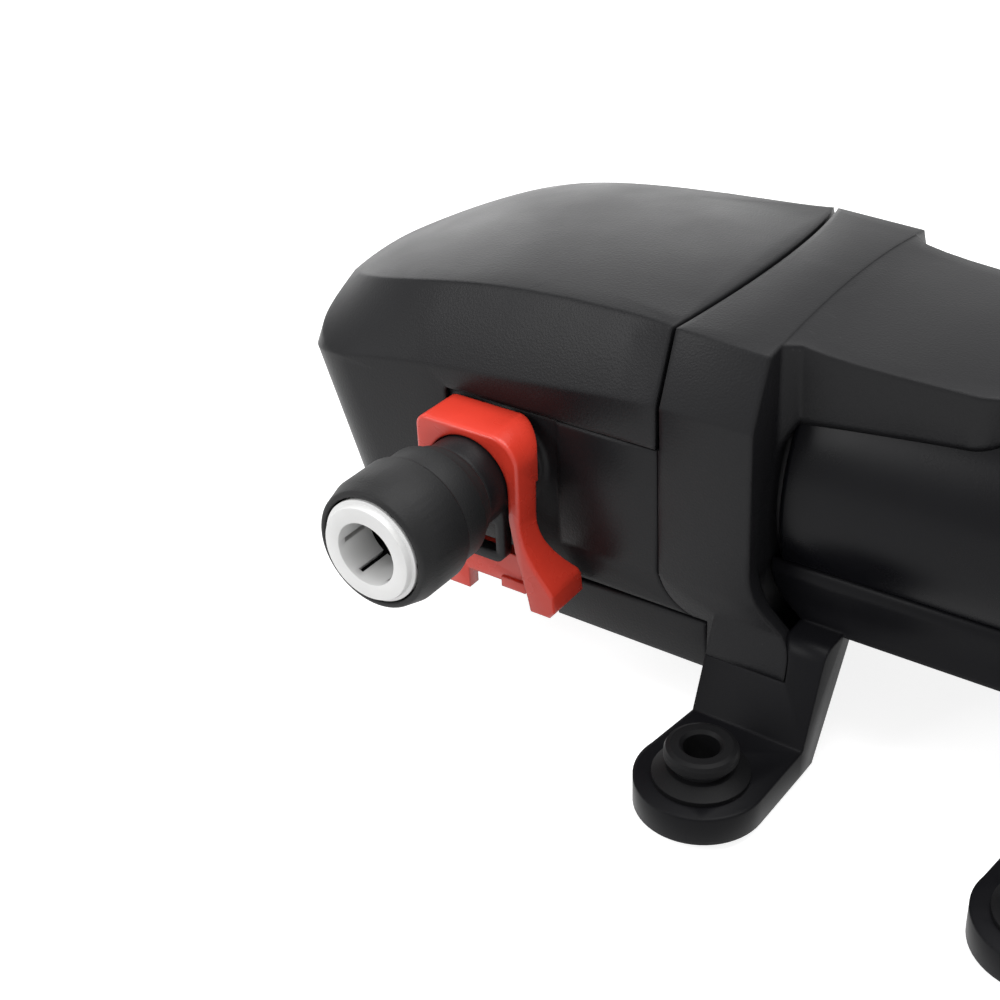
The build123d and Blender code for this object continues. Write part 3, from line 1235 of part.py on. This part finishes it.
def switch_screws():
    """Two screws that hold the switch housing down."""
    z = SWITCH_BASE_Z + FACE + 4.0 + 1.2 + FACE
    small = Pos(0, 0, 0.6) * Cylinder(1.9, 1.2) + Pos(0, 0, 4.2) * Cylinder(SCREW_R - 0.45, 6.4)
    small -= Box(2.4, 0.6, 1.0)
    down = Rot(180, 0, 0) * small
    return Compound(children=[Pos(x, y, z) * down for x, y in switch_screw_spots()])


def pieces():
    """Every piece by the name of its node."""
    grommets = {}
    names = ("front_right", "front_left", "rear_right", "rear_left")
    for name, (x, y) in zip(names, mount_spots()):
        grommets["grommet_" + name] = grommet(x, y)
    near = {
        "connector_body": connector_body(),
        "connector_cap": connector_cap(),
        "release_collet": collet(),
        "stem_seal": stem_seal(),
        "pipe_seal": pipe_seal(),
        "slide_clip": slide_clip(),
    }
    ports = {"outlet_" + name: shape for name, shape in near.items()}
    ports |= {"inlet_" + name: mirror(shape, Plane.XZ) for name, shape in near.items()}
    bush_x = MOTOR_FRONT_X - 2.0
    shells = {
        "front_cover": front_cover(),
        "pump_head": pump_head(),
        "head_tray": head_tray(),
        "mid_housing": mid_housing(),
        "base_frame": base_frame(),
    }
    motor = {
        "motor_can": motor_can(),
        "motor_front_plate": motor_front_plate(),
        "motor_end_cap": motor_end_cap(),
        "field_magnets": field_magnets(),
        "armature_core": armature_core(),
        "armature_winding": armature_winding(),
        "commutator": commutator(),
        "motor_shaft": motor_shaft(),
        "front_bush": bush(bush_x, bush_x + 6.0),
        "rear_bush": bush(END_X - 8.0, END_X - 3.0 - FACE),
        "brush_carrier": brush_carrier(),
        "brushes": Compound(children=[brush(), mirror(brush(), Plane.XZ)]),
        "brush_springs": Compound(children=[brush_spring(), mirror(brush_spring(), Plane.XZ)]),
        "cable_gland": cable_gland(),
    }
    drive = {
        "eccentric_cam": cam(),
        "bearing_inner_ring": tilted(bearing_ring(JOURNAL_R, BALL_PITCH_R - BALL_R - FACE)),
        "bearing_balls": bearing_balls(),
        "bearing_outer_ring": bearing_ring(BALL_PITCH_R + BALL_R + MOVING, OUTER_RING_R),
        "wobble_plate": wobble_plate(),
    }
    wet = {
        "diaphragm": diaphragm(),
        "piston_caps": Compound(children=[piston_cap(y, z) for y, z in chamber_spots()]),
        "piston_screws": piston_screws(),
        "valve_plate": valve_plate(),
        "valve_seals": valve_seals(),
        "inlet_valves": inlet_valves(),
        "outlet_valve": outlet_valve(),
    }
    switch = {
        "switch_housing": switch_housing(),
        "switch_diaphragm": switch_diaphragm(),
        "switch_plunger": switch_plunger(),
        "switch_spring": switch_spring(),
        "switch_adjuster": switch_adjuster(),
        "microswitch": microswitch(),
        "microswitch_button": microswitch_button(),
    }
    screws = {
        "head_screws": head_screws(),
        "motor_screws": motor_screws(),
        "cover_screws": cover_screws(),
        "tray_screws": tray_screws(),
        "base_screws": base_screws(),
        "switch_screws": switch_screws(),
    }
    return shells | grommets | ports | motor | drive | wet | switch | screws


if __name__ == "__main__":
    os.makedirs("parts", exist_ok=True)
    for name, shape in pieces().items():
        export_step(shape, f"parts/{name}.step")
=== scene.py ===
import json
import math

import bpy
from mathutils import Matrix, Vector

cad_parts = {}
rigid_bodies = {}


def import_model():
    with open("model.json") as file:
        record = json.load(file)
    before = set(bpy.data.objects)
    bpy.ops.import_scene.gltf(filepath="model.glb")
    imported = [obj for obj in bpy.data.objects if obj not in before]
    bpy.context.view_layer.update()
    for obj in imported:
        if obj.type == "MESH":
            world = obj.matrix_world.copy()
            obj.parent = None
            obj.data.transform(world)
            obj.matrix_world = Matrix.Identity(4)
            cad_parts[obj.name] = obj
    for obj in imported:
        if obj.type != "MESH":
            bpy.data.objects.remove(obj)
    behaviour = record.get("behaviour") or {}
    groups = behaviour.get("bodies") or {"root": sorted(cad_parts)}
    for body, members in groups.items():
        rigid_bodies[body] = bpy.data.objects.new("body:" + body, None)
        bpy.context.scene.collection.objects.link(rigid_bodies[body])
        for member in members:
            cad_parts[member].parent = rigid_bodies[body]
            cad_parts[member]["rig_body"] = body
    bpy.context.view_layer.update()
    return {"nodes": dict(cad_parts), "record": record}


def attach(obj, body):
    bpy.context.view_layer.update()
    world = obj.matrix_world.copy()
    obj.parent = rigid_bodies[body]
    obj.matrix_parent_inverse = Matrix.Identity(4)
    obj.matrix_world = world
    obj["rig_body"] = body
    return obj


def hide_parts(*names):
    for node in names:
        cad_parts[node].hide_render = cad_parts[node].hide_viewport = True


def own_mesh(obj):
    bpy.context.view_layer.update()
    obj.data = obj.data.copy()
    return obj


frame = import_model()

nodes = frame["nodes"]

MM = 0.001
MERGE = 0.002 * MM
CREASE_DEG = 40.0
SOFT_SAMPLES = 6
EDGE_POLISH = 0.14
FLOOR_SIZE = 12.0
FLOOR_GLOW = 0.84
ROOM_FILL = 0.6
WHITE = (1.0, 1.0, 1.0, 1.0)
PAPER = (0.55, 0.55, 0.55, 1.0)


# Node helpers


def new_group(name, inputs, outputs):
    """Empty shader node group with number sockets, returned with its input and output nodes."""
    group = bpy.data.node_groups.new(name, "ShaderNodeTree")
    for label, value in inputs:
        socket = group.interface.new_socket(label, in_out="INPUT", socket_type="NodeSocketFloat")
        socket.default_value = value
    for label in outputs:
        group.interface.new_socket(label, in_out="OUTPUT", socket_type="NodeSocketFloat")
    return group, group.nodes.new("NodeGroupInput"), group.nodes.new("NodeGroupOutput")


def place_group(tree, group, **values):
    """Put a shared group in a material with its own values."""
    node = tree.nodes.new("ShaderNodeGroup")
    node.node_tree = group
    for label, value in values.items():
        node.inputs[label.replace("_", " ")].default_value = value
    return node.outputs


def math_node(tree, operation, first, second):
    """Math node whose two inputs are each a socket or a number."""
    node = tree.nodes.new("ShaderNodeMath")
    node.operation = operation
    for socket, value in zip(node.inputs, (first, second)):
        if isinstance(value, (int, float)):
            socket.default_value = value
        else:
            tree.links.new(value, socket)
    return node.outputs[0]


def limits(tree, value, low, high, out_low, out_high):
    """Map a value from one range to another, clamped."""
    node = tree.nodes.new("ShaderNodeMapRange")
    tree.links.new(value, node.inputs["Value"])
    for label, number in (("From Min", low), ("From Max", high), ("To Min", out_low), ("To Max", out_high)):
        node.inputs[label].default_value = number
    return node.outputs["Result"]


def noise(tree, coords, detail, scale=1.0):
    """Noise node on given coordinates; its scale is in features per metre."""
    node = tree.nodes.new("ShaderNodeTexNoise")
    node.inputs["Scale"].default_value = scale
    node.inputs["Detail"].default_value = detail
    tree.links.new(coords, node.inputs["Vector"])
    return node


def blend_colour(tree, mask, first, second):
    """Mix two colours, each a socket or a colour, by a mask."""
    node = tree.nodes.new("ShaderNodeMix")
    node.data_type = "RGBA"
    tree.links.new(mask, node.inputs["Factor"])
    for socket, value in ((node.inputs["A"], first), (node.inputs["B"], second)):
        if isinstance(value, tuple):
            socket.default_value = (*value, 1.0)
        else:
            tree.links.new(value, socket)
    return node.outputs["Result"]


# Grain, marks and edge wear shared by the finishes


def moulded_grain():
    """Fine leather-like grain of a moulded part: a height."""
    group, given, out = new_group("moulded_grain", [("Per metre", 2600.0)], ["Height"])
    coords = group.nodes.new("ShaderNodeTexCoord").outputs["Object"]
    cells = group.nodes.new("ShaderNodeTexVoronoi")
    group.links.new(coords, cells.inputs["Vector"])
    fine = noise(group, coords, detail=2.0)
    for texture in (cells, fine):
        group.links.new(given.outputs["Per metre"], texture.inputs["Scale"])
    height = math_node(group, "ADD", cells.outputs["Distance"], fine.outputs["Fac"])
    group.links.new(height, out.inputs["Height"])
    return group


def handling_marks():
    """Smudges, dust specks and hairline scuffs: three masks."""
    group, given, out = new_group(
        "handling_marks", [("Dust", 0.5), ("Scuffs", 0.5)], ["Smudge", "Dust", "Scuff"]
    )
    coords = group.nodes.new("ShaderNodeTexCoord").outputs["Object"]

    def patches(scale, detail, low, high):
        return limits(group, noise(group, coords, detail, scale).outputs["Fac"], low, high, 0.0, 1.0)

    def strength(mask, where, label):
        both = math_node(group, "MULTIPLY", mask, where)
        return math_node(group, "MULTIPLY", both, given.outputs[label])

    group.links.new(patches(38.0, 5.0, 0.35, 0.7), out.inputs["Smudge"])
    specks = group.nodes.new("ShaderNodeTexVoronoi")
    specks.inputs["Scale"].default_value = 420.0
    group.links.new(coords, specks.inputs["Vector"])
    dot = limits(group, specks.outputs["Distance"], 0.05, 0.09, 1.0, 0.0)
    group.links.new(strength(dot, patches(95.0, 2.0, 0.56, 0.64), "Dust"), out.inputs["Dust"])
    stretch = group.nodes.new("ShaderNodeMapping")
    stretch.inputs["Rotation"].default_value = (0.3, 0.2, 0.5)
    stretch.inputs["Scale"].default_value = (30.0, 900.0, 600.0)
    group.links.new(coords, stretch.inputs["Vector"])
    lines = noise(group, stretch.outputs["Vector"], detail=3.0)
    hair = limits(group, lines.outputs["Fac"], 0.66, 0.72, 0.0, 1.0)
    group.links.new(strength(hair, patches(24.0, 1.0, 0.58, 0.68), "Scuffs"), out.inputs["Scuff"])
    return group


def edge_rub():
    """Mask of the outward edges, where handling polishes a part."""
    group, given, out = new_group("edge_rub", [("Amount", 0.4)], ["Mask"])
    geometry = group.nodes.new("ShaderNodeNewGeometry")
    edge = limits(group, geometry.outputs["Pointiness"], 0.52, 0.6, 0.0, 1.0)
    group.links.new(math_node(group, "MULTIPLY", edge, given.outputs["Amount"]), out.inputs["Mask"])
    return group


GRAIN, MARKS, RUB = moulded_grain(), handling_marks(), edge_rub()


# Finishes


def surface(
    name, colour, rough, grain, depth_mm, dust=0.0, scuffs=0.0, rub=0.3,
    metal=0.0, specular=0.5, coat=0.0, soft_mm=0.0,
):
    """Material of a finish: colour under marks, roughness that varies, grain as bump and soft edges."""
    material = bpy.data.materials.new(name)
    material.use_nodes = True
    tree = material.node_tree
    shader = tree.nodes["Principled BSDF"]
    marks = place_group(tree, MARKS, Dust=dust, Scuffs=scuffs)
    smudged = tuple(channel * 1.22 for channel in colour)
    scuffed = tuple(min(1.0, 0.12 + channel * 1.5) for channel in colour)
    dusty = tuple(min(1.0, 0.35 + channel) for channel in colour)
    tone = blend_colour(tree, marks["Smudge"], colour, smudged)
    tone = blend_colour(tree, marks["Scuff"], tone, scuffed)
    tone = blend_colour(tree, marks["Dust"], tone, dusty)
    tree.links.new(tone, shader.inputs["Base Color"])
    worn = place_group(tree, RUB, Amount=rub)
    polish = math_node(tree, "MULTIPLY", worn["Mask"], EDGE_POLISH)
    roughness = math_node(tree, "SUBTRACT", limits(tree, marks["Smudge"], 0.0, 1.0, *rough), polish)
    tree.links.new(roughness, shader.inputs["Roughness"])
    bump = tree.nodes.new("ShaderNodeBump")
    bump.inputs["Strength"].default_value = 1.0
    bump.inputs["Distance"].default_value = depth_mm * MM
    tree.links.new(place_group(tree, GRAIN, Per_metre=grain)["Height"], bump.inputs["Height"])
    if soft_mm:
        soft = tree.nodes.new("ShaderNodeBevel")
        soft.samples = SOFT_SAMPLES
        soft.inputs["Radius"].default_value = soft_mm * MM
        tree.links.new(soft.outputs["Normal"], bump.inputs["Normal"])
    tree.links.new(bump.outputs["Normal"], shader.inputs["Normal"])
    for label, number in (("Metallic", metal), ("Specular IOR Level", specular), ("Coat Weight", coat)):
        shader.inputs[label].default_value = number
    return material


FINISHES = {
    "housing_plastic": surface(
        "housing_satin", (0.008, 0.008, 0.009), rough=(0.36, 0.46), grain=2300.0, depth_mm=0.019,
        dust=0.03, scuffs=0.08, rub=0.35, specular=0.17, soft_mm=1.3,
    ),
    "fitting_plastic": surface(
        "fitting_matte", (0.009, 0.009, 0.0095), rough=(0.5, 0.6), grain=2700.0, depth_mm=0.02,
        dust=0.05, scuffs=0.1, rub=0.2, specular=0.25,
    ),
    "collet_plastic": surface(
        "collet_white", (0.71, 0.71, 0.705), rough=(0.25, 0.35), grain=900.0, depth_mm=0.002,
        scuffs=0.1, rub=0.1, coat=0.15,
    ),
    "clip_plastic": surface(
        "clip_red", (0.66, 0.044, 0.024), rough=(0.26, 0.36), grain=3000.0, depth_mm=0.006,
        dust=0.02, scuffs=0.1, rub=0.2, specular=0.45, soft_mm=0.6,
    ),
    # The base gets a darker, less reflective copy of the housing plastic. Its darker colour is painted
    # shade on the low parts; its coarser grain and scuffs are its own.
    "base_plastic": surface(
        "base_satin_painted_shade", (0.005, 0.005, 0.006), rough=(0.36, 0.45), grain=4200.0, depth_mm=0.006,
        scuffs=0.25, rub=0.35, specular=0.08, soft_mm=0.8,
    ),
    "rubber": surface(
        "grommet_rubber", (0.005, 0.005, 0.0055), rough=(0.5, 0.62), grain=2600.0, depth_mm=0.01,
        dust=0.1, scuffs=0.1, specular=0.12,
    ),
    "motor_paint": surface(
        "motor_paint", (0.003, 0.003, 0.004), rough=(0.27, 0.34), grain=1500.0, depth_mm=0.003,
        scuffs=0.1, rub=0.3, specular=0.13,
    ),
    "seal_rubber": surface("seal_rubber", (0.014, 0.014, 0.015), (0.35, 0.5), 1500.0, 0.01),
    "steel": surface("ground_steel", (0.56, 0.56, 0.55), (0.18, 0.3), 2600.0, 0.004, metal=1.0),
    "zinc_steel": surface("zinc_plate", (0.62, 0.62, 0.64), (0.3, 0.42), 1800.0, 0.006, metal=1.0),
    "core_steel": surface("stamped_core", (0.26, 0.26, 0.27), (0.4, 0.55), 1400.0, 0.01, metal=1.0),
    "copper": surface("enamelled_copper", (0.62, 0.27, 0.13), (0.22, 0.34), 1600.0, 0.03, metal=1.0),
    "bronze": surface("sintered_bronze", (0.5, 0.34, 0.17), (0.4, 0.55), 3000.0, 0.02, metal=1.0),
    "ferrite": surface("ferrite_grey", (0.07, 0.07, 0.075), (0.5, 0.65), 1500.0, 0.02),
    "carbon": surface("brush_carbon", (0.03, 0.03, 0.03), (0.55, 0.7), 2200.0, 0.02),
    "inner_plastic": surface("natural_nylon", (0.6, 0.59, 0.54), (0.35, 0.45), 1500.0, 0.008),
    "switch_case": surface("switch_black", (0.02, 0.02, 0.022), (0.45, 0.55), 1800.0, 0.015),
}

SLOT_OF = {entry["node"]: entry["material_slot"] for entry in frame["record"]["subparts"]}
for node_name, node_object in nodes.items():
    node_object.data.materials.clear()
    node_object.data.materials.append(FINISHES[SLOT_OF[node_name]])
# The base is given the darker copy of the housing plastic, which paints shade on it.
nodes["base_frame"].data.materials[0] = FINISHES["base_plastic"]


# Pieces that stand for solids


def copied(node_name, title):
    """New object with a copy of a node's mesh."""
    piece = bpy.data.objects.new(title, nodes[node_name].data.copy())
    bpy.context.scene.collection.objects.link(piece)
    return piece


def stand_in(piece, node_name):
    """Let a piece ride on its node's body and stand for it, with the node hidden."""
    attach(piece, nodes[node_name]["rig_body"])
    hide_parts(node_name)


def worked(node_name, title, rounding_mm, corner_deg=32.0, flat_deg=1.0, segments=2):
    """Copy of a node's mesh, merged and with its edges rounded, that stands for the node."""
    piece = copied(node_name, title)
    bpy.ops.object.select_all(action="DESELECT")
    piece.select_set(True)
    bpy.context.view_layer.objects.active = piece
    bpy.ops.object.mode_set(mode="EDIT")
    bpy.ops.mesh.select_all(action="SELECT")
    bpy.ops.mesh.remove_doubles(threshold=MERGE)
    if flat_deg:
        bpy.ops.mesh.dissolve_limited(angle_limit=math.radians(flat_deg))
    bpy.ops.object.mode_set(mode="OBJECT")
    rounding = piece.modifiers.new("rounding", "BEVEL")
    rounding.width = rounding_mm * MM
    rounding.segments = segments
    rounding.limit_method = "ANGLE"
    rounding.angle_limit = math.radians(corner_deg)
    rounding.use_clamp_overlap = True
    rounding.miter_outer = "MITER_ARC"
    bpy.ops.object.modifier_apply(modifier=rounding.name)
    bpy.ops.object.shade_smooth_by_angle(angle=math.radians(CREASE_DEG))
    stand_in(piece, node_name)


def squeezed_spring():
    """Copy of the pressure switch's spring, with a mesh of its own, that stands for the spring."""
    piece = copied("switch_spring", "pressure_spring")
    stand_in(piece, "switch_spring")
    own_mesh(piece)


# Floor, lights and camera


def looked_at(tree):
    """Mask that is 1 where the surroundings are seen, straight, in a reflection or through clear matter."""
    path = tree.nodes.new("ShaderNodeLightPath").outputs
    seen = math_node(tree, "MAXIMUM", path["Is Camera Ray"], path["Is Glossy Ray"])
    return math_node(tree, "MAXIMUM", seen, path["Is Transmission Ray"])


def paper_floor():
    """Pale floor that looks white and keeps the shadow."""
    bpy.ops.object.select_all(action="DESELECT")
    bpy.ops.mesh.primitive_plane_add(size=FLOOR_SIZE, location=(0, 0, 0))
    floor = bpy.context.active_object
    floor.name = "floor"
    bpy.ops.object.transform_apply(location=True, rotation=True, scale=True)
    paper = bpy.data.materials.new("white_paper")
    paper.use_nodes = True
    tree = paper.node_tree
    shader = tree.nodes["Principled BSDF"]
    shader.inputs["Base Color"].default_value = PAPER
    shader.inputs["Roughness"].default_value = 0.9
    shader.inputs["Specular IOR Level"].default_value = 0.0
    shader.inputs["Emission Color"].default_value = WHITE
    glow = math_node(tree, "MULTIPLY", looked_at(tree), FLOOR_GLOW)
    tree.links.new(glow, shader.inputs["Emission Strength"])
    floor.data.materials.append(paper)


def white_room():
    """World that looks white and lights the object a little less than that."""
    world = bpy.data.worlds.new("room")
    bpy.context.scene.world = world
    world.use_nodes = True
    tree = world.node_tree
    ground = tree.nodes["Background"]
    ground.inputs["Color"].default_value = WHITE
    strength = limits(tree, looked_at(tree), 0.0, 1.0, ROOM_FILL, 1.0)
    tree.links.new(strength, ground.inputs["Strength"])


def softbox(name, place, size, power, aim):
    """Square lamp at a place, turned to a point."""
    lamp = bpy.data.lights.new(name, "AREA")
    lamp.shape = "SQUARE"
    lamp.size = size
    lamp.energy = power
    holder = bpy.data.objects.new(name, lamp)
    bpy.context.scene.collection.objects.link(holder)
    holder.location = place
    holder.rotation_euler = (Vector(aim) - Vector(place)).to_track_quat("-Z", "Y").to_euler()


def photographer(place, turn_deg, tip_deg, roll_deg, lens):
    """Camera at the photograph's place: turned about Z, tipped down and rolled."""
    turn, tip, roll = map(math.radians, (turn_deg, tip_deg, roll_deg))
    ahead = Vector((-math.sin(turn) * math.cos(tip), math.cos(turn) * math.cos(tip), -math.sin(tip)))
    right = Vector((math.cos(turn), math.sin(turn), 0.0))
    facing = Matrix((right, right.cross(ahead), -ahead)).transposed() @ Matrix.Rotation(roll, 3, "Z")
    camera = bpy.data.objects.new("camera", bpy.data.cameras.new("camera"))
    bpy.context.scene.collection.objects.link(camera)
    camera.data.lens = lens
    camera.data.sensor_width = 36.0
    camera.data.clip_start = 0.01
    camera.matrix_world = Matrix.Translation(place) @ facing.to_4x4()
    bpy.context.scene.camera = camera


worked("front_cover", "hood", 0.9, corner_deg=24.0, segments=3)
worked("mid_housing", "deck_housing", 1.0, corner_deg=24.0, segments=3)
worked("pump_head", "head_casting", 0.35)
worked("head_tray", "tray", 0.4)
worked("base_frame", "base", 0.5)
for side in ("outlet_", "inlet_"):
    worked(side + "slide_clip", side + "clip", 0.5)
    worked(side + "connector_cap", side + "cap", 0.3, flat_deg=0.0)
    worked(side + "connector_body", side + "body", 0.25, flat_deg=0.0)
    worked(side + "release_collet", side + "collet", 0.2, flat_deg=0.0)
squeezed_spring()
paper_floor()
white_room()
softbox("softbox_back", (-0.86, 0.78, 0.36), size=0.8, power=3.0, aim=(-0.08, 0, 0.05))
softbox("softbox_over", (0.1, 0.15, 1.1), size=0.9, power=10.0, aim=(-0.02, 0, 0.04))
softbox("softbox_left", (-0.72, -0.95, 0.78), size=0.5, power=5.5, aim=(-0.04, 0, 0.04))
photographer((0.07934, -0.25906, 0.20541), turn_deg=36.83, tip_deg=31.51, roll_deg=-2.73, lens=61.26)
bpy.context.scene.view_settings.view_transform = "Standard"
